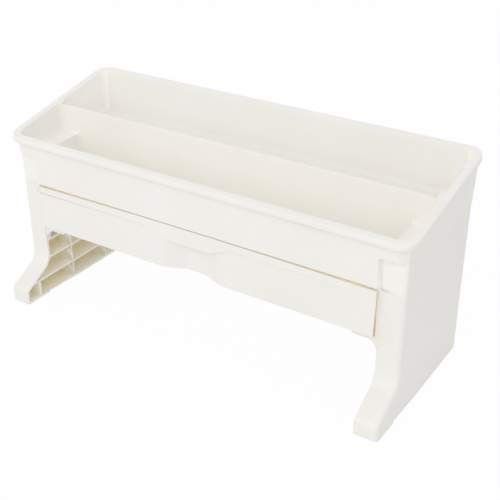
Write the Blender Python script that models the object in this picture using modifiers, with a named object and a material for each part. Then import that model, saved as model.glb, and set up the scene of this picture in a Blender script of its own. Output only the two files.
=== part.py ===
"""Countertop organiser: a divided tray with a raised back rim, two ribbed legs and a drawer.

Frame: metres, +Z up, +X to the right, +Y to the back. The origin is on the floor at the
middle of the whole object's plan.
"""
import math

import bmesh
import bpy
from mathutils import Matrix

# Rim of the tray
RIM_LENGTH = 0.4000
RIM_DEPTH = 0.1365
RIM_FRONT_HEIGHT = 0.1603
RIM_BACK_HEIGHT = 0.1891
RIM_RADIUS = 0.0140
LIP_OVERHANG = 0.0043
LIP_HEIGHT = 0.0053
LIP_ROUND = 0.0012

# Tray below the rim
SKIRT_HEIGHT = 0.0285
SIDE_DRAFT = 0.0008
WALL = 0.0022
POST_SETBACK = 0.0043
BACK_SETBACK = 0.0028
SIDE_SETBACK = 0.0012
POST_RADIUS = 0.0040
BACK_RADIUS = 0.0010
APRON_RISE = 0.0029
APRON_MARGIN = 0.0004
SEAM_HEIGHT = 0.1143
STEP_RISE = 0.0032
INSIDE_RADIUS = 0.0075
POCKET_DRAFT = 0.0011
WELL_RADIUS = 0.0050
WELL_DRAFT = 0.0009
WELL_SPREAD = 0.0005
WELL_FILLET = 0.0040
POCKET_FILLET = 0.0045
DIVIDER_BACK = 0.0665
DIVIDER_THICKNESS = 0.0020
DIVIDER_DROP = 0.0021

# Legs
LEG_WIDTH = 0.0210
LEG_WALL = 0.0024
FLARE_RADIUS = 0.0153
FLARE_TOP = 0.0420
FOOT_SLOPE = math.radians(29.0)
TOE_REACH = 0.0241
TOE_RADIUS = 0.0050
SOLE_ARCH_START = 0.0290
SOLE_ARCH_LENGTH = 0.0400
SOLE_ARCH_RISE = 0.0012
RIB = 0.0018
LEVEL_RIBS = (0.0185, 0.0370, 0.0555)
UPRIGHT_RIBS = (-0.0151, 0.0314, 0.0789)

# Drawer and its runners
DRAWER_BOTTOM = 0.0731
DRAWER_SIDE_DROP = 0.0007
DRAWER_BACK_GAP = 0.0060
DRAWER_SIDE_GAP = 0.0022
DRAWER_DRAFT = 0.0027
DRAWER_WALL = 0.0022
PANEL_INSET = 0.0016
PANEL_TAPER = 0.0010
PANEL_GAP = 0.0030
PANEL_CROWN = 0.0020
PANEL_RECESS = 0.0006
BEAD_HEIGHT = 0.0056
BEAD_END_RADIUS = 0.0028
PULL_DROP = 0.0072
PULL_HALF = 0.0220
PULL_SLOPE = 0.0170
GRIP_HALF = 0.0330
GRIP_FLAT = 0.0060
GRIP_DEPTH = 0.0082
GRIP_ROOF = 0.0130
GRIP_LEDGE = 0.1500
RUNNER_WIDTH = 0.0225
RUNNER_THICKNESS = 0.0022
RUNNER_SETBACK = 0.0034
BRACKET_DEPTH = 0.0053
BRACKET_CURVE = 0.0125
BRACKET_FLAT = 0.0130
GUIDE_REACH = 0.0025
GUIDE_TAPER = 0.0013
STOP_HEIGHT = 0.0072
STOP_WIDTH = 0.0120
STOP_THICKNESS = 0.0020

# Foot pads
PAD_THICKNESS = 0.0012
SOLE_Z = 0.0004
PAD_MARGIN = 0.0020
TOE_PAD_LENGTH = 0.0240
HEEL_PAD_LENGTH = 0.0200
PAD_RADIUS = 0.0030

# Clearances
FIT_GAP = 0.0003
SINK = 0.0010
CUT_PAST = 0.0100
STOP_GAP = 0.0005
TENON_GAP = 0.0008

ARC_STEPS = 6
FILLET_STEPS = 3
FLARE_STEPS = 10
CROWN_STEPS = 12
GRIP_STEPS = 28
GRIP_ROOF_STEPS = 5

# Planes worked out from the sizes above
HALF_RIM = RIM_LENGTH / 2
NECK_X = HALF_RIM - LIP_OVERHANG
POST_X = NECK_X - SIDE_SETBACK
LEG_INNER_X = POST_X - LEG_WIDTH
APRON_X = LEG_INNER_X + APRON_MARGIN
TOE_Y = -(RIM_DEPTH + TOE_REACH) / 2
RIM_FRONT_Y = TOE_Y + TOE_REACH
RIM_BACK_Y = RIM_FRONT_Y + RIM_DEPTH
FACE_Y = RIM_FRONT_Y + LIP_OVERHANG
NECK_BACK_Y = RIM_BACK_Y - LIP_OVERHANG
POST_FRONT_Y = FACE_Y + POST_SETBACK
POST_BACK_Y = NECK_BACK_Y - BACK_SETBACK
APRON_BOTTOM = SEAM_HEIGHT + APRON_RISE
BODY_BOTTOM = SEAM_HEIGHT + SKIRT_HEIGHT
STEP_FLOOR = BODY_BOTTOM + STEP_RISE
PANEL_TOP = APRON_BOTTOM - PANEL_GAP
DRAWER_SIDE_TOP = SEAM_HEIGHT - DRAWER_SIDE_DROP
RIM_SLOPE = (RIM_BACK_HEIGHT - RIM_FRONT_HEIGHT) / RIM_DEPTH
DIVIDER_BACK_Y = RIM_FRONT_Y + DIVIDER_BACK
DIVIDER_FRONT_Y = DIVIDER_BACK_Y - DIVIDER_THICKNESS
WELL_FLOOR = APRON_BOTTOM + WALL
CHANNEL_TOP = STEP_FLOOR - WALL
CHANNEL_OUTER_X = POST_X - WALL
CHANNEL_INNER_X = APRON_X + WALL
CHANNEL_FRONT_Y = POST_FRONT_Y + WALL
CHANNEL_BACK_Y = POST_BACK_Y - WALL
RECESS_TOP = PAD_THICKNESS + FIT_GAP
LEG_TOP = SEAM_HEIGHT - FIT_GAP
RUNNER_TOP = DRAWER_BOTTOM - FIT_GAP
RUNNER_INNER_X = LEG_INNER_X - RUNNER_WIDTH
DRAWER_X = LEG_INNER_X - DRAWER_SIDE_GAP
DRAWER_BACK_Y = POST_BACK_Y - DRAWER_BACK_GAP
PANEL_FRONT_Y = FACE_Y + PANEL_RECESS
PANEL_BACK_Y = PANEL_FRONT_Y + DRAWER_WALL
PANEL_X = APRON_X - PANEL_INSET
GRIP_TOP = PANEL_TOP - BEAD_HEIGHT - PULL_DROP


def clear_scene():
    for item in list(bpy.data.objects):
        bpy.data.objects.remove(item, do_unlink=True)


def new_collection(name):
    group = bpy.data.collections.new(name)
    bpy.context.scene.collection.children.link(group)
    return group


def plastic(name, colour, roughness):
    material = bpy.data.materials.new(name)
    material.use_nodes = True
    shader = material.node_tree.nodes["Principled BSDF"]
    shader.inputs["Base Color"].default_value = (*colour, 1.0)
    shader.inputs["Roughness"].default_value = roughness
    shader.inputs["Metallic"].default_value = 0.0
    return material


# Outlines and solids

def arc(centre, radius, start, end, steps=ARC_STEPS):
    """Points on an arc, from start to end in degrees."""
    points = []
    for step in range(steps + 1):
        angle = math.radians(start + (end - start) * step / steps)
        points.append((centre[0] + radius * math.cos(angle), centre[1] + radius * math.sin(angle)))
    return points


def rounded_rectangle(low, high, radius, back_radius=None):
    """Outline of a rectangle with round corners, anticlockwise; those at the back may differ."""
    (x0, y0), (x1, y1) = low, high
    back = back_radius or radius
    points = arc((x1 - back, y1 - back), back, 0, 90)
    points += arc((x0 + back, y1 - back), back, 90, 180)
    points += arc((x0 + radius, y0 + radius), radius, 180, 270)
    points += arc((x1 - radius, y0 + radius), radius, 270, 360)
    return points


def rectangle(low, high):
    return [(low[0], low[1]), (high[0], low[1]), (high[0], high[1]), (low[0], high[1])]


def solid(name, rings, group):
    """A closed solid: the first ring filled, then extruded from ring to ring, all with as many points."""
    shape = bmesh.new()
    ring = [shape.verts.new(point) for point in rings[0]]
    shape.faces.new(ring)
    for points in rings[1:]:
        edges = [shape.edges.get((vert, ring[index - 1])) for index, vert in enumerate(ring)]
        places = {tuple(vert.co): point for vert, point in zip(ring, points)}
        grown = bmesh.ops.extrude_edge_only(shape, edges=edges)
        made = {tuple(item.co): item for item in grown["geom"] if isinstance(item, bmesh.types.BMVert)}
        ring = [made[tuple(vert.co)] for vert in ring]
        for vert in ring:
            vert.co = places[tuple(vert.co)]
    shape.faces.new(ring)
    bmesh.ops.recalc_face_normals(shape, faces=shape.faces)
    mesh = bpy.data.meshes.new(name)
    shape.to_mesh(mesh)
    shape.free()
    item = bpy.data.objects.new(name, mesh)
    group.objects.link(item)
    return item


def upright(name, outline, low, high, group, top_outline=None):
    """An outline in X and Y raised from one height to another."""
    first = [(x, y, low) for x, y in outline]
    last = [(x, y, high) for x, y in (top_outline or outline)]
    return solid(name, [first, last], group)


def pocket(name, low, high, radius, fillet, floor, top, spread, group):
    """A cutter for a compartment with a rounded floor edge; spread moves each wall out at the top."""
    rings = []
    for step in range(FILLET_STEPS + 1):
        turn = math.pi / 2 * step / FILLET_STEPS
        inset = fillet * (1.0 - math.sin(turn))
        corner = max(radius - inset, SINK)
        start = (low[0] + inset, low[1] + inset)
        outline = rounded_rectangle(start, (high[0] - inset, high[1] - inset), corner)
        rings.append([(x, y, floor + fillet * (1.0 - math.cos(turn))) for x, y in outline])
    outline = rounded_rectangle((low[0] - spread[0], low[1] - spread[1]),
                                (high[0] + spread[0], high[1] + spread[2]), radius)
    rings.append([(x, y, top) for x, y in outline])
    return solid(name, rings, group)


def across(name, outline, x0, x1, group):
    """An outline in Y and Z carried along X."""
    return solid(name, [[(x, y, z) for y, z in outline] for x in (x0, x1)], group)


def fore_aft(name, outline, y0, y1, group):
    """An outline in X and Z carried along Y."""
    return solid(name, [[(x, y, z) for x, z in outline] for y in (y0, y1)], group)


def block(name, low, high, group):
    return upright(name, rectangle(low[:2], high[:2]), low[2], high[2], group)


def combine(target, tool, operation):
    step = target.modifiers.new(tool.name, "BOOLEAN")
    step.operation = operation
    step.solver = "EXACT"
    step.object = tool
    tool.hide_render = True
    tool.display_type = "WIRE"


def join(target, tool):
    combine(target, tool, "UNION")


def cut(target, tool):
    combine(target, tool, "DIFFERENCE")


def finish(item, material):
    item.data.materials.append(material)
    for face in item.data.polygons:
        face.use_smooth = True
    item.data.set_sharp_from_angle(angle=math.radians(30))


def rim_height(y):
    return RIM_FRONT_HEIGHT + RIM_SLOPE * (y - RIM_FRONT_Y)


# Tray

def make_tray(parts, tools):
    """The whole moulding: a drafted upper body, a recessed skirt, a flush apron and the rim's lip."""
    radius = RIM_RADIUS - LIP_OVERHANG
    low = rounded_rectangle((-NECK_X + SIDE_DRAFT, FACE_Y), (NECK_X - SIDE_DRAFT, NECK_BACK_Y - BACK_SETBACK),
                            radius, BACK_RADIUS)
    high = rounded_rectangle((-NECK_X, FACE_Y), (NECK_X, NECK_BACK_Y), radius, BACK_RADIUS)
    tray = solid("tray", [[(x, y, BODY_BOTTOM) for x, y in low],
                          [(x, y, rim_height(y) - LIP_HEIGHT / 2) for x, y in high]], parts)
    skirt = rounded_rectangle((-POST_X, POST_FRONT_Y), (POST_X, POST_BACK_Y), POST_RADIUS, BACK_RADIUS)
    join(tray, upright("tray_skirt", skirt, SEAM_HEIGHT, BODY_BOTTOM + SINK, tools))
    apron = rectangle((-APRON_X, FACE_Y), (APRON_X, DIVIDER_FRONT_Y))
    join(tray, upright("tray_apron", apron, APRON_BOTTOM, BODY_BOTTOM + SINK, tools))
    join(tray, make_lip(tools))
    cut_tray_pockets(tray, tools)
    cut_tray_underside(tray, tools)
    return tray


def make_lip(tools):
    """The rim's lip, parallel to the sloping rim, with its outer edges rounded."""
    rings = []
    for step in range(2 * FILLET_STEPS + 2):
        below = LIP_HEIGHT - LIP_ROUND
        turn = -math.pi / 2 + math.pi / 2 * min(step, FILLET_STEPS) / FILLET_STEPS
        if step > FILLET_STEPS:
            below = LIP_ROUND
            turn = math.pi / 2 * (step - FILLET_STEPS - 1) / FILLET_STEPS
        inset = LIP_ROUND * (1.0 - math.cos(turn))
        outline = rounded_rectangle((-HALF_RIM + inset, RIM_FRONT_Y + inset),
                                    (HALF_RIM - inset, RIM_BACK_Y - inset), RIM_RADIUS - inset)
        drop = below - LIP_ROUND * math.sin(turn)
        rings.append([(x, y, rim_height(y) - drop) for x, y in outline])
    return solid("tray_lip", rings, tools)


def cut_tray_pockets(tray, tools):
    """The two compartments, the deep well between the legs and the lowered divider."""
    side = NECK_X - WALL
    low_side = side - POCKET_DRAFT
    above = RIM_BACK_HEIGHT + CUT_PAST
    front = FACE_Y + WALL
    cut(tray, pocket("front_pocket", (-low_side, front), (low_side, DIVIDER_FRONT_Y), INSIDE_RADIUS,
                     POCKET_FILLET, STEP_FLOOR, above, (POCKET_DRAFT, 0.0, 0.0), tools))
    back = POST_BACK_Y - WALL
    spread = (POCKET_DRAFT, 0.0, BACK_SETBACK)
    cut(tray, pocket("back_pocket", (-low_side, DIVIDER_BACK_Y), (low_side, back), INSIDE_RADIUS,
                     POCKET_FILLET, STEP_FLOOR, above, spread, tools))
    well_x = APRON_X - POCKET_DRAFT - WELL_DRAFT
    well_front = front + WELL_DRAFT
    well_back = DIVIDER_FRONT_Y - WELL_DRAFT
    cut(tray, pocket("well_pocket", (-well_x, well_front), (well_x, well_back), WELL_RADIUS, WELL_FILLET,
                     WELL_FLOOR, STEP_FLOOR + POCKET_FILLET, (WELL_DRAFT, WELL_SPREAD, WELL_SPREAD), tools))
    top = rim_height((DIVIDER_FRONT_Y + DIVIDER_BACK_Y) / 2) - DIVIDER_DROP
    notch_x = side - INSIDE_RADIUS / 2
    cut(tray, block("divider_notch", (-notch_x, DIVIDER_FRONT_Y - SINK, top),
                    (notch_x, DIVIDER_BACK_Y + SINK, above), tools))


def cut_tray_underside(tray, tools):
    """The channel that takes the legs' tenons, open below and joined round the back of the well."""
    well_outer = DIVIDER_BACK_Y + WALL
    outline = [(-CHANNEL_OUTER_X, CHANNEL_FRONT_Y), (-CHANNEL_INNER_X, CHANNEL_FRONT_Y),
               (-CHANNEL_INNER_X, well_outer), (CHANNEL_INNER_X, well_outer),
               (CHANNEL_INNER_X, CHANNEL_FRONT_Y), (CHANNEL_OUTER_X, CHANNEL_FRONT_Y),
               (CHANNEL_OUTER_X, CHANNEL_BACK_Y), (-CHANNEL_OUTER_X, CHANNEL_BACK_Y)]
    cut(tray, upright("tray_channel", outline, SEAM_HEIGHT - CUT_PAST, CHANNEL_TOP, tools))
    under = rectangle((-APRON_X, CHANNEL_FRONT_Y - WALL - SINK), (APRON_X, well_outer + SINK))
    cut(tray, upright("tray_well_bottom", under, SEAM_HEIGHT - CUT_PAST, APRON_BOTTOM, tools))


# Legs

def flare_end(inset):
    """Where the foot's concave curve runs into its sloping top."""
    radius = FLARE_RADIUS + inset
    y = POST_FRONT_Y - FLARE_RADIUS + radius * math.sin(FOOT_SLOPE)
    return y, FLARE_TOP - radius * math.cos(FOOT_SLOPE)


def leg_outline(inset):
    """Side view of a leg in Y and Z, drawn in by an inset on every side."""
    front = POST_FRONT_Y + inset
    back = POST_BACK_Y - inset
    sole = SOLE_Z + inset
    slope = math.degrees(FOOT_SLOPE)
    end_y, end_z = flare_end(0.0)
    toe_y = TOE_Y + TOE_RADIUS
    toe_z = end_z + (toe_y - end_y) * math.tan(FOOT_SLOPE) - TOE_RADIUS / math.cos(FOOT_SLOPE)
    points = [(back, sole), (back, LEG_TOP - inset), (front, LEG_TOP - inset)]
    points += arc((POST_FRONT_Y - FLARE_RADIUS, FLARE_TOP), FLARE_RADIUS + inset, 0, slope - 90, FLARE_STEPS)
    points += arc((toe_y, toe_z), TOE_RADIUS - inset, 90 + slope, 180)
    points.append((TOE_Y + inset, sole))
    if inset == 0:
        points += sole_arch()
    return points


def sole_arch():
    """The shallow hollow of the sole behind the toe."""
    points = []
    start = TOE_Y + SOLE_ARCH_START
    for step in range(ARC_STEPS + 1):
        share = step / ARC_STEPS
        rise = SOLE_ARCH_RISE * math.sin(math.pi * share)
        points.append((start + SOLE_ARCH_LENGTH * share, SOLE_Z + rise))
    return points


def flare_front(z):
    """Where the inside of a leg's front wall lies at a height."""
    end_y, end_z = flare_end(LEG_WALL)
    if z >= FLARE_TOP:
        return POST_FRONT_Y + LEG_WALL
    if z < end_z:
        return end_y + (z - end_z) / math.tan(FOOT_SLOPE)
    radius = FLARE_RADIUS + LEG_WALL
    return POST_FRONT_Y - FLARE_RADIUS + math.sqrt(radius ** 2 - (FLARE_TOP - z) ** 2)


def make_leg(side, name, parts, tools):
    """One leg: side is 1 for the right leg and -1 for the left leg."""
    inner = side * LEG_INNER_X
    outer = side * POST_X
    open_end = side * (LEG_INNER_X - CUT_PAST)
    leg = across(name, leg_outline(0.0), inner, outer, parts)
    round_outer_edges(leg, outer)
    add_tenon(leg, side, tools)
    cut(leg, across(name + "_hollow", leg_outline(LEG_WALL), open_end, side * (POST_X - LEG_WALL), tools))
    rib_outer = side * (POST_X - LEG_WALL + SINK)
    back = POST_BACK_Y - LEG_WALL + SINK
    for index, z in enumerate(LEVEL_RIBS):
        start = (inner, flare_front(z) - SINK, z - RIB / 2)
        join(leg, block(f"{name}_level_rib_{index}", start, (rib_outer, back, z + RIB / 2), tools))
    for index, depth in enumerate(UPRIGHT_RIBS):
        y = POST_FRONT_Y + depth
        top = LEVEL_RIBS[0] if depth < 0 else LEG_TOP - LEG_WALL + SINK
        low = (inner, y - RIB / 2, SOLE_Z + LEG_WALL - SINK)
        join(leg, block(f"{name}_upright_rib_{index}", low, (rib_outer, y + RIB / 2, top), tools))
    add_runner(leg, side, tools)
    for end, plan in pad_outlines(side, FIT_GAP).items():
        cut(leg, upright(f"{name}_{end}_recess", plan, -CUT_PAST, RECESS_TOP, tools))
    return leg


def round_outer_edges(leg, outer):
    """Rounds the outer face's front and back edges, in line with the tray's posts above."""
    weights = leg.data.attributes.new("bevel_weight_edge", "FLOAT", "EDGE")
    for edge in leg.data.edges:
        ends = [leg.data.vertices[index].co for index in edge.vertices]
        on_face = all(abs(place.x - outer) < SINK for place in ends)
        along_sole = all(place.z < SOLE_Z + SOLE_ARCH_RISE + SINK for place in ends)
        along_top = all(place.z > LEG_TOP - SINK for place in ends)
        at_back = all(place.y > POST_BACK_Y - SINK for place in ends)
        if on_face and not along_sole and not along_top:
            weights.data[edge.index].value = BACK_RADIUS / POST_RADIUS if at_back else 1.0
    step = leg.modifiers.new("outer_corner", "BEVEL")
    step.limit_method = "WEIGHT"
    step.width = POST_RADIUS
    step.segments = FILLET_STEPS
    step.use_clamp_overlap = False


def add_tenon(leg, side, tools):
    """The hollow tongue on top of a leg that stands inside the tray's channel."""
    inner_x = CHANNEL_INNER_X + FIT_GAP
    outer_x = CHANNEL_OUTER_X - FIT_GAP
    front = CHANNEL_FRONT_Y + FIT_GAP
    back = CHANNEL_BACK_Y - FIT_GAP
    top = CHANNEL_TOP - TENON_GAP
    low = (side * inner_x, front, LEG_TOP - SINK)
    join(leg, block(leg.name + "_tenon", low, (side * outer_x, back, top), tools))
    low = (side * (inner_x - CUT_PAST), front + WALL, LEG_TOP)
    high = (side * (outer_x - WALL), back - WALL, top - WALL)
    cut(leg, block(leg.name + "_tenon_hollow", low, high, tools))


def add_runner(leg, side, tools):
    """The shelf that the drawer slides on, with a bracket and a guide in front and a stop behind."""
    front = POST_FRONT_Y + RUNNER_SETBACK
    back = POST_BACK_Y - LEG_WALL + SINK
    outer_x = side * (POST_X - LEG_WALL + SINK)
    shelf = block(leg.name + "_runner", (side * RUNNER_INNER_X, front, RUNNER_TOP - RUNNER_THICKNESS),
                  (outer_x, back, RUNNER_TOP), tools)
    join(leg, shelf)
    low = RUNNER_TOP - BRACKET_DEPTH
    curve_x = RUNNER_INNER_X + BRACKET_FLAT
    width = LEG_INNER_X - curve_x
    root_x = LEG_INNER_X + LEG_WALL
    middle = RUNNER_TOP - RUNNER_THICKNESS / 2
    face = [(RUNNER_INNER_X, middle), (RUNNER_INNER_X, low)]
    for step in range(ARC_STEPS + 1):
        turn = math.pi / 2 * step / ARC_STEPS
        face.append((curve_x + width * math.sin(turn), low - BRACKET_CURVE * (1.0 - math.cos(turn))))
    face += [(root_x, low - BRACKET_CURVE), (root_x, middle)]
    face = [(side * x, z) for x, z in face]
    join(leg, fore_aft(leg.name + "_bracket", face, POST_FRONT_Y + SINK, front + RUNNER_THICKNESS, tools))
    low_x = LEG_INNER_X - GUIDE_REACH
    top = LEG_TOP - SINK
    guide = [(low_x, middle), (root_x, middle), (root_x, top), (low_x + GUIDE_TAPER, top)]
    guide = [(side * x, z) for x, z in guide]
    join(leg, fore_aft(leg.name + "_guide", guide, POST_FRONT_Y, POST_FRONT_Y + LEG_WALL - SINK, tools))
    stop_y = DRAWER_BACK_Y + STOP_GAP
    stop_x = DRAWER_X - DRAWER_DRAFT - STOP_WIDTH
    stop = block(leg.name + "_stop", (side * stop_x, stop_y, RUNNER_TOP - SINK),
                 (side * (stop_x + STOP_WIDTH), stop_y + STOP_THICKNESS, RUNNER_TOP + STOP_HEIGHT), tools)
    join(leg, stop)


# Drawer

def crown(x):
    """Rise of the drawer front's top edge, greatest at the middle."""
    share = min(abs(x) / PANEL_X, 1.0)
    return PANEL_CROWN * (1.0 - share * share)


def crown_points(half):
    points = []
    for step in range(CROWN_STEPS + 1):
        x = half - 2 * half * step / CROWN_STEPS
        points.append((x, PANEL_TOP + crown(x)))
    return points


def panel_outline():
    low = PANEL_X - PANEL_TAPER
    return [(-low, DRAWER_BOTTOM), (low, DRAWER_BOTTOM)] + crown_points(PANEL_X)


def bead_outline():
    """The bead along the drawer front's top, with the pull dropping from its middle."""
    low = PANEL_TOP - BEAD_HEIGHT
    radius = BEAD_END_RADIUS
    points = arc((-PANEL_X + radius, low + radius), radius, 180, 270)
    points += [(-PULL_HALF - PULL_SLOPE, low), (-PULL_HALF, GRIP_TOP), (PULL_HALF, GRIP_TOP)]
    points += [(PULL_HALF + PULL_SLOPE, low)]
    points += arc((PANEL_X - radius, low + radius), radius, 270, 360)
    points += crown_points(PANEL_X)
    return points


def grip_outline(grow, front, share_of_depth=1.0):
    """Plan of the finger grip behind a front line, grown by an amount: a smooth hollow."""
    half = GRIP_HALF + grow
    flat = GRIP_FLAT + grow
    points = [(-half, front), (half, front)]
    for step in range(GRIP_STEPS + 1):
        x = half - 2 * half * step / GRIP_STEPS
        share = min((half - abs(x)) / (half - flat), 1.0)
        y = PANEL_FRONT_Y + (GRIP_DEPTH + grow) * share_of_depth * share * share * (3.0 - 2.0 * share)
        if y > front:
            points.append((x, y))
    return points


def make_drawer(parts, tools):
    low_x = DRAWER_X - DRAWER_DRAFT
    low = rectangle((-low_x, PANEL_FRONT_Y + SINK), (low_x, DRAWER_BACK_Y - DRAWER_DRAFT / 2))
    high = rectangle((-DRAWER_X, PANEL_FRONT_Y + SINK), (DRAWER_X, DRAWER_BACK_Y))
    drawer = upright("drawer", low, DRAWER_BOTTOM, DRAWER_SIDE_TOP, parts, high)
    join(drawer, fore_aft("drawer_panel", panel_outline(), PANEL_FRONT_Y, PANEL_BACK_Y, tools))
    join(drawer, fore_aft("drawer_bead", bead_outline(), FACE_Y, PANEL_BACK_Y - SINK / 2, tools))
    wall = DRAWER_WALL
    low = rectangle((-low_x + wall, PANEL_BACK_Y), (low_x - wall, DRAWER_BACK_Y - DRAWER_DRAFT / 2 - wall))
    high = rectangle((-DRAWER_X + wall, PANEL_BACK_Y), (DRAWER_X - wall, DRAWER_BACK_Y - wall))
    cavity_top = PANEL_TOP + PANEL_CROWN + CUT_PAST
    cut(drawer, upright("drawer_cavity", low, DRAWER_BOTTOM + wall, cavity_top, tools, high))
    housing = grip_outline(wall, PANEL_FRONT_Y + SINK)
    join(drawer, upright("grip_housing", housing, DRAWER_BOTTOM + SINK, GRIP_TOP + wall, tools))
    cut(drawer, make_grip_cutter(tools))
    return drawer


def make_grip_cutter(tools):
    """The hollow of the finger grip, open below, whose roof curves out to the front face."""
    front = PANEL_FRONT_Y - CUT_PAST
    rings = [[(x, y, DRAWER_BOTTOM - CUT_PAST) for x, y in grip_outline(0.0, front)]]
    for step in range(GRIP_ROOF_STEPS + 1):
        turn = math.pi / 2 * step / GRIP_ROOF_STEPS
        z = GRIP_TOP - GRIP_ROOF * (1.0 - math.sin(turn))
        share = GRIP_LEDGE + (1.0 - GRIP_LEDGE) * math.cos(turn)
        rings.append([(x, y, z) for x, y in grip_outline(0.0, front, share)])
    return solid("grip_hollow", rings, tools)


def hang_on_slide(drawer, parts):
    """An empty on the drawer's sliding axis carries the drawer."""
    guide = bpy.data.objects.new("drawer_slide", None)
    guide.location = (0.0, PANEL_FRONT_Y, DRAWER_BOTTOM)
    parts.objects.link(guide)
    drawer.parent = guide
    drawer.matrix_parent_inverse = Matrix.Translation(guide.location).inverted()


# Foot pads

def pad_outlines(side, grow):
    """Plans of a leg's toe and heel pads, each grown by an amount."""
    x = sorted((side * (LEG_INNER_X + PAD_MARGIN), side * (POST_X - PAD_MARGIN)))
    toe = TOE_Y + PAD_MARGIN
    heel = POST_BACK_Y - PAD_MARGIN
    plans = {}
    for end, start, stop in (("toe", toe, toe + TOE_PAD_LENGTH), ("heel", heel - HEEL_PAD_LENGTH, heel)):
        low = (x[0] - grow, start - grow)
        plans[end] = rounded_rectangle(low, (x[1] + grow, stop + grow), PAD_RADIUS + grow)
    return plans


def make_pads(side, word, parts):
    plans = pad_outlines(side, 0.0)
    return [upright(f"{word}_{end}_pad", plan, 0.0, PAD_THICKNESS, parts) for end, plan in plans.items()]


def main():
    clear_scene()
    parts = new_collection("countertop_organiser")
    tools = new_collection("cutters")
    white = plastic("cream_polypropylene", (0.86, 0.84, 0.78), 0.42)
    soft = plastic("soft_foot_pad", (0.80, 0.79, 0.76), 0.80)
    finish(make_tray(parts, tools), white)
    finish(make_leg(-1, "left_leg", parts, tools), white)
    finish(make_leg(1, "right_leg", parts, tools), white)
    drawer = make_drawer(parts, tools)
    hang_on_slide(drawer, parts)
    finish(drawer, white)
    for side, word in ((-1, "left"), (1, "right")):
        for pad in make_pads(side, word, parts):
            finish(pad, soft)


main()
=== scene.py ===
"""Looks of the countertop organiser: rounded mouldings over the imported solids, plastic, light and camera.

Sizes and places on the object are in mm. A depth is measured back from the rim's front edge.
"""
import math

import bmesh
import bpy
from mathutils import Matrix, Vector
from mathutils.bvhtree import BVHTree


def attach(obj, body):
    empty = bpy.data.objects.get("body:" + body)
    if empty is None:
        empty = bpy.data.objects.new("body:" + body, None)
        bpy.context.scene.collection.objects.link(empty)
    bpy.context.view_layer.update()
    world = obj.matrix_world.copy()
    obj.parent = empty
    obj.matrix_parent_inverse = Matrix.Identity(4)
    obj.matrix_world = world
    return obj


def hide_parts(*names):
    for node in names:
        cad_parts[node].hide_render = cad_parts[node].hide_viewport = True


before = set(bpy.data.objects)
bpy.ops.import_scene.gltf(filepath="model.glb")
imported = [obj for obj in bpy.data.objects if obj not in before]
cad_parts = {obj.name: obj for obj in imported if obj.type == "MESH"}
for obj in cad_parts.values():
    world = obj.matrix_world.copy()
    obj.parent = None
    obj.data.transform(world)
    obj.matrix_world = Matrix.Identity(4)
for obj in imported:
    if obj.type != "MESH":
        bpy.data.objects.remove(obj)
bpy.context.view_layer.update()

MM = 0.001

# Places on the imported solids
RIM_FRONT = 56.2                  # how far the rim's front edge is in front of the origin
RIM_LOW = 159.0                   # height just below the rim's top at its front edge
RIM_RISE = 0.211                  # how much the rim rises for each mm of depth
SEAM = 114.0                      # height of the legs' shoulders, just under the tray
APRON_END = 173.9                 # half the apron's length
APRON_DEPTH = 4.3                 # depth of the apron's face
DIVIDER_DEPTH = 65.5              # depth of the divider
DIVIDER_END = 186.0               # the divider meets the end walls past this x
DIVIDER_LOW = 150.0               # the edges at the divider's ends stay sharp above this height
DIVIDER_BAND = 2.5                # and this near the divider's depth
FRONT_COMPARTMENT = (6.4, 64.6)   # depths that hold the front compartment
WELL_LOW = 118.5                  # height just below the front well's floor
WALL_OUTER = 193.6                # the end walls' outer faces lie past this x
END_WALL = 184.0                  # the end walls' inner faces lie past this x
END_WALL_BACK = 128.0             # depth by which the end walls turn into the back wall
PANEL_END = 171.0                 # the ends of the drawer's front lie past this x
PANEL_BACK = 7.2                  # depth just behind the drawer's front
CELL_OUTER = 192.3                # the legs' outer faces lie past this x
BRACKET_LOW = 56.7                # height just above the top level rib
BRACKET_BACK = 38.0               # depth just behind the drawer's bracket
ARCH_START = 4.9                  # depth where the sole's hollow starts
ARCH_LENGTH = 40.0                # length of the sole's hollow
ARCH_BAND = 1.3                   # height over the sole that takes in the hollow
SOLE = 0.4                        # height of the sole over the floor

# Small changes to the copies' shapes
SEAM_LIFT = 0.28                  # how far the shoulders are drawn up to the tray
SEAM_BAND = 1.0                   # edges this near the seam stay sharp
APRON_SLANT = 1.9                 # how far the front edge of the apron's ends is drawn in
SOLE_STEP = 2.0                   # height of the step behind the toe
ARCH_INSIDE = (0.05, 0.95)        # shares of the hollow's length that are changed
STEP_REACH = 0.25                 # share of the hollow that closes up to the step
STEP_SHARE = 0.005                # where the step's top is, as a share of the hollow's length
NEAR = 0.05                       # how close a corner is to the place that it is known by
WELD = 0.002                      # corners this close are one
FLAT = math.radians(0.5)          # triangles that turn less than this are one face
ANY_SHAPE = math.radians(180.0)   # faces of any shape are joined
SHARP = math.radians(40.0)        # edges that turn less than this stay as they are

# Rounding
TRAY_ROUND = 0.5
LEG_ROUND = 0.35
DRAWER_ROUND = 0.4
PAD_ROUND = 0.25
STRIP_ROUND = 0.25
ROUND_STEPS = 3
STRIP_STEPS = 2
ROUND_PROFILE = 0.5
NORMAL_WEIGHT = 60

# How a face is found by its direction, and by what lies in front of it
FACES_SIDE = 0.9                  # least share of a sideways face's normal that is along x
FACES_IN = 0.3                    # the same for an end wall, which leans
RAY_LIFT = 0.1
RAY_REACH = 150.0

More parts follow.
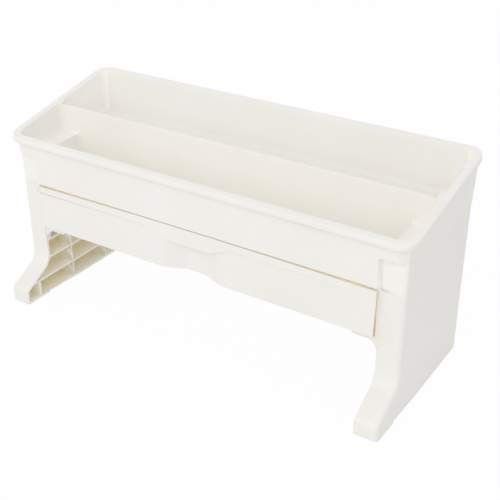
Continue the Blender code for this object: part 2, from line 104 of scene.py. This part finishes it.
# Thin trim behind the gaps round the drawer's front; the strip over the drawer's front is golden with a
# painted glow
STRIP_X = (-171.0, 171.0)
STRIP_DEPTH = (7.75, 8.55)
STRIP_Z = (113.8, 117.4)
TABS_X = ((132.4, 135.4), (161.1, 164.8), (168.8, 171.6))
TAB_DEPTH = (7.35, 7.85)
TAB_Z = (114.0, 117.4)
LIP_X = (171.5, 174.0)
LIP_DEPTH = (7.4, 9.8)
LIP_Z = (74.5, 117.3)
LIP_SLOPE = 1.25
END_BAND = 0.1                    # corners this near a strip's outer end belong to it

# Plastic
CREAM = (0.93, 0.917, 0.885)
CLOUD_SHADE = (0.975, 0.970, 0.955)   # the clouds' darker parts, as shares of the colour
CLOUD_ENDS = (0.30, 0.70)             # where the clouds go from dark to pale
CLOUD_SCALE = 14.0
CLOUD_DETAIL = 3.0
GRAIN_SCALE = 1800.0
GRAIN_DETAIL = 2.0
GRAIN_STRENGTH = 0.06
GRAIN_HEIGHT = 0.2
GLOSS_SPREAD = (-0.05, 0.06)          # how far roughness goes below and above its level
PLASTIC_IOR = 1.49
SPECULAR_LEVEL = 0.40
SKIN_WEIGHT = 0.06
SKIN_RADIUS = (1.0, 0.72, 0.36)
SKIN_SCALE = 1.2
SATIN = 0.42                          # roughness of the tray and the legs
SMOOTH_SATIN = 0.40                   # roughness of the drawer
DULL = 0.45                           # roughness of cells, edges and gaps
RUBBERY = 0.80                        # roughness of the pads
BODY_CLOUDS = 1.0                     # each of these picks a place in the noise
DRAWER_CLOUDS = 3.0
PAD_CLOUDS = 4.0

# Sockets of Blender's Mix node for colours
MIX_FACTOR = 0
MIX_FIRST = 6
MIX_SECOND = 7
MIX_RESULT = 2

# Camera, in degrees, mm of lens and metres
AZIMUTH = 33.015
ELEVATION = 28.927
ROLL = -0.19
LENS = 67.1
CAMERA_PLACE = (0.41510, -0.59812, 0.47691)

# Studio
WHITE = (1.0, 1.0, 1.0, 1.0)
WORLD_LEVEL = 0.785
FLOOR_PAINT = (0.88, 0.88, 0.88, 1.0)
FLOOR_SIZE = 6.0                      # from the middle to each side, in metres
FLOOR_DROP = 0.2                      # how far the floor is below the pads
FLOOR_WHITE = 0.97                    # share of white in the floor where it is seen directly


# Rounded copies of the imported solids

def depth_of(at):
    """How far behind the rim's front edge a place in mm is."""
    return at.y + RIM_FRONT


def welded_shape(node):
    """The node's solid as a mesh with flat faces made whole."""
    shape = bmesh.new()
    shape.from_mesh(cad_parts[node].data)
    bmesh.ops.remove_doubles(shape, verts=shape.verts, dist=WELD * MM)
    bmesh.ops.join_triangles(shape, faces=shape.faces, angle_face_threshold=FLAT,
                             angle_shape_threshold=ANY_SHAPE, cmp_seam=False)
    return shape


def close_the_seam(shape):
    """Draws a leg's shoulders up to the tray."""
    for vert in shape.verts:
        if abs(vert.co.z / MM - SEAM) < NEAR:
            vert.co.z += SEAM_LIFT * MM


def step_the_sole(shape):
    """Makes the sole's hollow a step behind the toe that slopes down to the heel."""
    for vert in shape.verts:
        share = (vert.co.y / MM + RIM_FRONT - ARCH_START) / ARCH_LENGTH
        if vert.co.z / MM > SOLE + ARCH_BAND or not ARCH_INSIDE[0] < share < ARCH_INSIDE[1]:
            continue
        if share < STEP_REACH:
            share = STEP_SHARE
            vert.co.y = (ARCH_START + share * ARCH_LENGTH - RIM_FRONT) * MM
        vert.co.z = (SOLE + SOLE_STEP * (1.0 - share)) * MM


def slant_the_apron(shape):
    """Draws in the front edge of the apron's ends, so that each end slants back to its post."""
    for vert in shape.verts:
        at = vert.co / MM
        if abs(abs(at.x) - APRON_END) < NEAR and abs(depth_of(at) - APRON_DEPTH) < NEAR:
            vert.co.x = math.copysign(APRON_END - APRON_SLANT, at.x) * MM


def mark_rounded_edges(shape, stays_sharp):
    """Marks the outer edges that the bevel rounds, and keeps the others sharp."""
    weights = shape.edges.layers.float.new("bevel_weight_edge")
    for edge in shape.edges:
        if len(edge.link_faces) != 2 or edge.calc_face_angle(0.0) < SHARP:
            continue
        middle = (edge.verts[0].co + edge.verts[1].co) / 2 / MM
        if edge.is_convex and not (stays_sharp and stays_sharp(middle)):
            edge[weights] = 1.0
        else:
            edge.smooth = False


def round_off(piece, radius):
    """Rounds a piece's marked edges and smooths its shading."""
    bevel = piece.modifiers.new("rounding", "BEVEL")
    bevel.limit_method = "WEIGHT"
    bevel.offset_type = "OFFSET"
    bevel.width = radius * MM
    bevel.segments = ROUND_STEPS
    bevel.use_clamp_overlap = False
    bevel.miter_outer = "MITER_ARC"
    bevel.loop_slide = True
    normals = piece.modifiers.new("normals", "WEIGHTED_NORMAL")
    normals.mode = "FACE_AREA"
    normals.weight = NORMAL_WEIGHT
    normals.keep_sharp = True


def new_piece(name, shape, materials):
    """A piece in the scene with the shape's mesh; the shape is used up."""
    mesh = bpy.data.meshes.new(name)
    shape.to_mesh(mesh)
    shape.free()
    piece = bpy.data.objects.new(name, mesh)
    bpy.context.scene.collection.objects.link(piece)
    for material in materials:
        mesh.materials.append(material)
    return piece


def rounded_piece(node, body, slot, radius, materials, stays_sharp=None, inner=None):
    """A copy of a node with its outer edges rounded, apart from those that stays_sharp picks.

    Faces that inner picks take the second material, or the third where it gives 2.
    """
    shape = welded_shape(node)
    if inner:
        solid = BVHTree.FromBMesh(shape)
        for face in shape.faces:
            face.material_index = int(inner(face, solid))
    if slot == "legs":
        close_the_seam(shape)
        step_the_sole(shape)
    if slot == "tray":
        slant_the_apron(shape)
    mark_rounded_edges(shape, stays_sharp)
    piece = new_piece(node + "_moulding", shape, materials)
    for face in piece.data.polygons:
        face.use_smooth = True
    round_off(piece, radius)
    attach(piece, body)
    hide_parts(node)


def sharp_on_tray(at):
    """Whether a tray's edge is by the seam or at an end of the divider."""
    by_seam = at.z < SEAM + SEAM_BAND
    by_divider = abs(at.x) > DIVIDER_END and abs(depth_of(at) - DIVIDER_DEPTH) < DIVIDER_BAND
    return by_seam or (by_divider and at.z > DIVIDER_LOW)


def sharp_on_leg(at):
    """Whether a leg's edge is by the seam or on the tenon above it."""
    return at.z > SEAM - SEAM_BAND


def gets_painted_glow(face, solid):
    """Which tray faces get a painted glow: 1 for the front compartment, 2 for the end walls behind it."""
    at = face.calc_center_median() / MM
    depth = depth_of(at)
    if abs(at.x) > WALL_OUTER or not WELL_LOW < at.z < RIM_LOW + RIM_RISE * depth:
        return 0
    if FRONT_COMPARTMENT[0] < depth < FRONT_COMPARTMENT[1]:
        return 1
    faces_in = face.normal.x * at.x < -FACES_IN * abs(at.x)
    return 2 if faces_in and abs(at.x) > END_WALL and depth < END_WALL_BACK else 0


# Faces picked here take the painted golden tint and glow.
def in_a_cell(face, solid):
    """Whether a leg's face lines one of the cells between the ribs."""
    at = face.calc_center_median() / MM
    by_bracket = at.z > BRACKET_LOW and depth_of(at) < BRACKET_BACK
    if abs(at.x) > CELL_OUTER or at.z > SEAM - NEAR or by_bracket:
        return False
    if face.normal.x * at.x < -FACES_SIDE * abs(at.x):
        return True
    start = (at + face.normal * RAY_LIFT) * MM
    return solid.ray_cast(start, face.normal, RAY_REACH * MM)[0] is not None


# Faces picked here take the painted amber glow.
def panel_end(face, solid):
    """Whether a face is an end of the drawer's front panel."""
    at = face.calc_center_median() / MM
    return abs(face.normal.x) > FACES_SIDE and abs(at.x) > PANEL_END and depth_of(at) < PANEL_BACK


def gap_strip(name, x, depth, z, material, slope=0.0):
    """A thin strip behind a gap round the drawer's front.

    Its front runs back by slope towards the end that is farther from the middle.
    """
    outer_x = max(x, key=abs)
    shape = bmesh.new()
    bmesh.ops.create_cube(shape, size=1.0)
    size = Vector((x[1] - x[0], depth[1] - depth[0], z[1] - z[0])) * MM
    middle = Vector((x[0] + x[1], depth[0] + depth[1] - 2 * RIM_FRONT, z[0] + z[1])) * MM / 2
    bmesh.ops.scale(shape, vec=size, verts=shape.verts)
    bmesh.ops.translate(shape, vec=middle, verts=shape.verts)
    for vert in shape.verts:
        if vert.co.y < middle.y and abs(vert.co.x - outer_x * MM) < END_BAND * MM:
            vert.co.y += slope * MM
    bmesh.ops.bevel(shape, geom=shape.edges[:], offset=STRIP_ROUND * MM, segments=STRIP_STEPS,
                    affect="EDGES", profile=ROUND_PROFILE)
    strip = new_piece(name, shape, [material])
    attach(strip, "stand")


# Materials

def link(tree, a, b):
    tree.links.new(a, b)


def noise(tree, place, scale, detail):
    """A noise texture in the object's own space."""
    texture = tree.nodes.new("ShaderNodeTexNoise")
    texture.inputs["Scale"].default_value = scale
    texture.inputs["Detail"].default_value = detail
    link(tree, place.outputs["Object"], texture.inputs["Vector"])
    return texture


def moulded_plastic(name, colour, roughness, seed, glow=None, level=0.0):
    """Satin polypropylene: faint clouding, fine moulded grain and slight light spread below the skin.

    Glow is the tint of a painted glow on faces that should look lit through thin walls, and level its
    strength.
    """
    material = bpy.data.materials.new(name)
    material.use_nodes = True
    tree = material.node_tree
    shader = tree.nodes["Principled BSDF"]
    place = tree.nodes.new("ShaderNodeTexCoord")
    cloud = noise(tree, place, CLOUD_SCALE, CLOUD_DETAIL)
    cloud.noise_dimensions = "4D"
    cloud.inputs["W"].default_value = seed
    tint = tree.nodes.new("ShaderNodeValToRGB")
    dark, pale = tint.color_ramp.elements
    dark.position, pale.position = CLOUD_ENDS
    dark.color = (*[part * shade for part, shade in zip(colour, CLOUD_SHADE)], 1.0)
    pale.color = (*colour, 1.0)
    link(tree, cloud.outputs["Fac"], tint.inputs["Fac"])
    link(tree, tint.outputs["Color"], shader.inputs["Base Color"])
    gloss = tree.nodes.new("ShaderNodeMapRange")
    gloss.inputs["To Min"].default_value = roughness + GLOSS_SPREAD[0]
    gloss.inputs["To Max"].default_value = roughness + GLOSS_SPREAD[1]
    link(tree, cloud.outputs["Fac"], gloss.inputs["Value"])
    link(tree, gloss.outputs["Result"], shader.inputs["Roughness"])
    grain = noise(tree, place, GRAIN_SCALE, GRAIN_DETAIL)
    bump = tree.nodes.new("ShaderNodeBump")
    bump.inputs["Strength"].default_value = GRAIN_STRENGTH
    bump.inputs["Distance"].default_value = GRAIN_HEIGHT * MM
    link(tree, grain.outputs["Fac"], bump.inputs["Height"])
    link(tree, bump.outputs["Normal"], shader.inputs["Normal"])
    shader.inputs["IOR"].default_value = PLASTIC_IOR
    shader.inputs["Specular IOR Level"].default_value = SPECULAR_LEVEL
    shader.inputs["Subsurface Weight"].default_value = SKIN_WEIGHT
    shader.inputs["Subsurface Radius"].default_value = SKIN_RADIUS
    shader.inputs["Subsurface Scale"].default_value = SKIN_SCALE * MM
    if glow:
        shader.inputs["Emission Color"].default_value = (*glow, 1.0)
        shader.inputs["Emission Strength"].default_value = level
    return material


def paint_glow_with_depth(material, colour, start, end, levels):
    """Paints light and shade into a leg's cells, from the open side to the outer wall: the colour turns
    golden and the painted glow dims towards the wall.
    """
    tree = material.node_tree
    shader = tree.nodes["Principled BSDF"]
    place = tree.nodes.new("ShaderNodeTexCoord")
    axes = tree.nodes.new("ShaderNodeSeparateXYZ")
    link(tree, place.outputs["Object"], axes.inputs[0])
    out = tree.nodes.new("ShaderNodeMath")
    out.operation = "ABSOLUTE"
    link(tree, axes.outputs["X"], out.inputs[0])
    share = tree.nodes.new("ShaderNodeMapRange")
    share.inputs["From Min"].default_value = start * MM
    share.inputs["From Max"].default_value = end * MM
    link(tree, out.outputs[0], share.inputs["Value"])
    mix = tree.nodes.new("ShaderNodeMix")
    mix.data_type = "RGBA"
    tint = shader.inputs["Base Color"].links[0].from_socket
    link(tree, share.outputs["Result"], mix.inputs[MIX_FACTOR])
    link(tree, tint, mix.inputs[MIX_FIRST])
    mix.inputs[MIX_SECOND].default_value = (*colour, 1.0)
    link(tree, mix.outputs[MIX_RESULT], shader.inputs["Base Color"])
    level = tree.nodes.new("ShaderNodeMapRange")
    level.inputs["To Min"].default_value, level.inputs["To Max"].default_value = levels
    link(tree, share.outputs["Result"], level.inputs["Value"])
    link(tree, level.outputs["Result"], shader.inputs["Emission Strength"])


def tray_plastics():
    """The tray's plastic, and copies with a painted glow that brightens its front compartment and the end
    walls behind it.
    """
    plain = moulded_plastic("tray_plastic", CREAM, SATIN, BODY_CLOUDS)
    # The inside and end wall copies carry a painted glow that brightens these faces.
    inside = moulded_plastic("inside_glow_plastic", CREAM, SATIN, BODY_CLOUDS, glow=(1.0, 0.92, 0.78), level=0.033)
    ends = moulded_plastic("end_wall_glow_plastic", CREAM, SATIN, BODY_CLOUDS, glow=(1.0, 0.94, 0.84), level=0.075)
    return [plain, inside, ends]


def leg_plastics():
    """The legs' plastic, and a copy for the cells between the ribs with a painted golden tint and glow."""
    plain = moulded_plastic("leg_plastic", CREAM, SATIN, BODY_CLOUDS)
    # The cells' copy is painted golden, with a painted glow.
    cells = moulded_plastic("cell_glow_plastic", CREAM, DULL, BODY_CLOUDS, glow=(1.0, 0.90, 0.68), level=0.10)
    paint_glow_with_depth(cells, colour=(0.88, 0.81, 0.60), start=176.0, end=191.0, levels=(0.09, 0.06))
    return [plain, cells]


def drawer_plastics():
    """The drawer's plastic, and an amber copy with a painted glow for the ends of the front."""
    plain = moulded_plastic("drawer_plastic", CREAM, SMOOTH_SATIN, DRAWER_CLOUDS)
    # The ends' copy is painted amber, with a painted glow.
    ends = moulded_plastic("edge_glow_plastic", (0.76, 0.60, 0.32), DULL, DRAWER_CLOUDS,
                           glow=(1.0, 0.72, 0.30), level=0.07)
    return [plain, ends]


def gap_glow_plastic():
    """Golden plastic with a painted glow, on the strip behind the gap over the drawer's front."""
    return moulded_plastic("gap_glow_plastic", (0.74, 0.62, 0.34), DULL, DRAWER_CLOUDS,
                           glow=(1.0, 0.82, 0.46), level=0.28)


def pad_rubber():
    """Matt rubber for the feet's pads."""
    return moulded_plastic("pad_rubber", (0.78, 0.77, 0.73), RUBBERY, PAD_CLOUDS)


# Camera, light and floor

def make_camera():
    """A camera at the photograph's viewing angle."""
    azimuth = math.radians(AZIMUTH)
    elevation = math.radians(ELEVATION)
    roll = math.radians(ROLL)
    back = Vector((math.sin(azimuth) * math.cos(elevation), -math.cos(azimuth) * math.cos(elevation),
                   math.sin(elevation)))
    right = Vector((math.cos(azimuth), math.sin(azimuth), 0.0))
    up = back.cross(right)
    turned_right = right * math.cos(roll) + up * math.sin(roll)
    turned_up = up * math.cos(roll) - right * math.sin(roll)
    lens = bpy.data.cameras.new("camera")
    lens.sensor_width = 36.0
    lens.lens = LENS
    lens.clip_start = 0.05
    lens.clip_end = 50.0
    camera = bpy.data.objects.new("camera", lens)
    bpy.context.scene.collection.objects.link(camera)
    turn = Matrix((turned_right, turned_up, back)).transposed().to_4x4()
    camera.matrix_world = Matrix.Translation(CAMERA_PLACE) @ turn
    bpy.context.scene.camera = camera


def soft_box(name, place, target, size, power, colour):
    """A rectangular lamp at a place in metres, aimed at a target."""
    lamp = bpy.data.lights.new(name, "AREA")
    lamp.shape = "RECTANGLE"
    lamp.size, lamp.size_y = size
    lamp.energy = power
    lamp.color = colour
    item = bpy.data.objects.new(name, lamp)
    bpy.context.scene.collection.objects.link(item)
    item.location = place
    aim = Vector(target) - Vector(place)
    item.rotation_mode = "QUATERNION"
    item.rotation_quaternion = aim.to_track_quat("-Z", "Y")


def seen_directly(tree):
    """1 for rays that come straight from the camera, off gloss or through glass."""
    path = tree.nodes.new("ShaderNodeLightPath")
    first = tree.nodes.new("ShaderNodeMath")
    first.operation = "MAXIMUM"
    link(tree, path.outputs["Is Camera Ray"], first.inputs[0])
    link(tree, path.outputs["Is Glossy Ray"], first.inputs[1])
    second = tree.nodes.new("ShaderNodeMath")
    second.operation = "MAXIMUM"
    link(tree, first.outputs[0], second.inputs[0])
    link(tree, path.outputs["Is Transmission Ray"], second.inputs[1])
    return second.outputs[0]


def make_world(level):
    """An even grey light from all round, which looks white where it is seen directly."""
    world = bpy.data.worlds.new("studio")
    bpy.context.scene.world = world
    world.use_nodes = True
    tree = world.node_tree
    tree.nodes.clear()
    dim = tree.nodes.new("ShaderNodeBackground")
    dim.inputs["Color"].default_value = WHITE
    dim.inputs["Strength"].default_value = level
    white = tree.nodes.new("ShaderNodeBackground")
    white.inputs["Color"].default_value = WHITE
    white.inputs["Strength"].default_value = 1.0
    mix = tree.nodes.new("ShaderNodeMixShader")
    out = tree.nodes.new("ShaderNodeOutputWorld")
    link(tree, seen_directly(tree), mix.inputs["Fac"])
    link(tree, dim.outputs[0], mix.inputs[1])
    link(tree, white.outputs[0], mix.inputs[2])
    link(tree, mix.outputs[0], out.inputs["Surface"])


def floor_paint():
    """Pale paint, nearly white where it is seen directly."""
    material = bpy.data.materials.new("pale_floor")
    material.use_nodes = True
    tree = material.node_tree
    tree.nodes.clear()
    paint = tree.nodes.new("ShaderNodeBsdfDiffuse")
    paint.inputs["Color"].default_value = FLOOR_PAINT
    glow = tree.nodes.new("ShaderNodeEmission")
    glow.inputs["Color"].default_value = WHITE
    glow.inputs["Strength"].default_value = 1.0
    share = tree.nodes.new("ShaderNodeMath")
    share.operation = "MULTIPLY"
    share.inputs[1].default_value = FLOOR_WHITE
    mix = tree.nodes.new("ShaderNodeMixShader")
    out = tree.nodes.new("ShaderNodeOutputMaterial")
    link(tree, seen_directly(tree), share.inputs[0])
    link(tree, share.outputs[0], mix.inputs["Fac"])
    link(tree, paint.outputs[0], mix.inputs[1])
    link(tree, glow.outputs[0], mix.inputs[2])
    link(tree, mix.outputs[0], out.inputs["Surface"])
    return material


def make_floor():
    """A plain pale floor under the pads."""
    shape = bmesh.new()
    bmesh.ops.create_grid(shape, x_segments=1, y_segments=1, size=FLOOR_SIZE)
    floor = new_piece("floor", shape, [floor_paint()])
    floor.location = (0.0, 0.0, -FLOOR_DROP * MM)


# The whole scene

def dress_the_solids(of_tray, of_legs):
    """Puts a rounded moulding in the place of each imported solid."""
    rounded_piece("tray", "stand", "tray", TRAY_ROUND, of_tray, sharp_on_tray, gets_painted_glow)
    for side in ("left", "right"):
        rounded_piece(side + "_leg", "stand", "legs", LEG_ROUND, of_legs, sharp_on_leg, in_a_cell)
    rounded_piece("drawer", "drawer", "drawer", DRAWER_ROUND, drawer_plastics(), inner=panel_end)
    rubber = pad_rubber()
    for side in ("left", "right"):
        for end in ("toe", "heel"):
            rounded_piece(f"{side}_{end}_pad", "stand", "pads", PAD_ROUND, [rubber])


def trim_the_gaps(tray_plastic, leg_plastic):
    """Puts a strip with tabs behind the gap over the drawer's front, the strip painted to glow, and a lip
    behind each slot beside it.
    """
    gap_strip("gap_strip", STRIP_X, STRIP_DEPTH, STRIP_Z, gap_glow_plastic())
    for number, ends in enumerate(TABS_X, start=1):
        gap_strip(f"gap_tab_{number}", ends, TAB_DEPTH, TAB_Z, tray_plastic)
    inner, outer = LIP_X
    for name, ends in (("left_slot_lip", (-outer, -inner)), ("right_slot_lip", (inner, outer))):
        gap_strip(name, ends, LIP_DEPTH, LIP_Z, leg_plastic, slope=LIP_SLOPE)


def main():
    of_tray = tray_plastics()
    of_legs = leg_plastics()
    dress_the_solids(of_tray, of_legs)
    trim_the_gaps(of_tray[0], of_legs[0])
    make_camera()
    make_world(WORLD_LEVEL)
    soft_box("key", place=(-0.1, -1.95, 1.45), target=(0.0, 0.0, 0.1), size=(2.4, 2.0), power=13.0,
             colour=(1.0, 0.995, 0.985))
    make_floor()
    bpy.context.scene.view_settings.view_transform = "Standard"
    bpy.context.view_layer.update()


main()
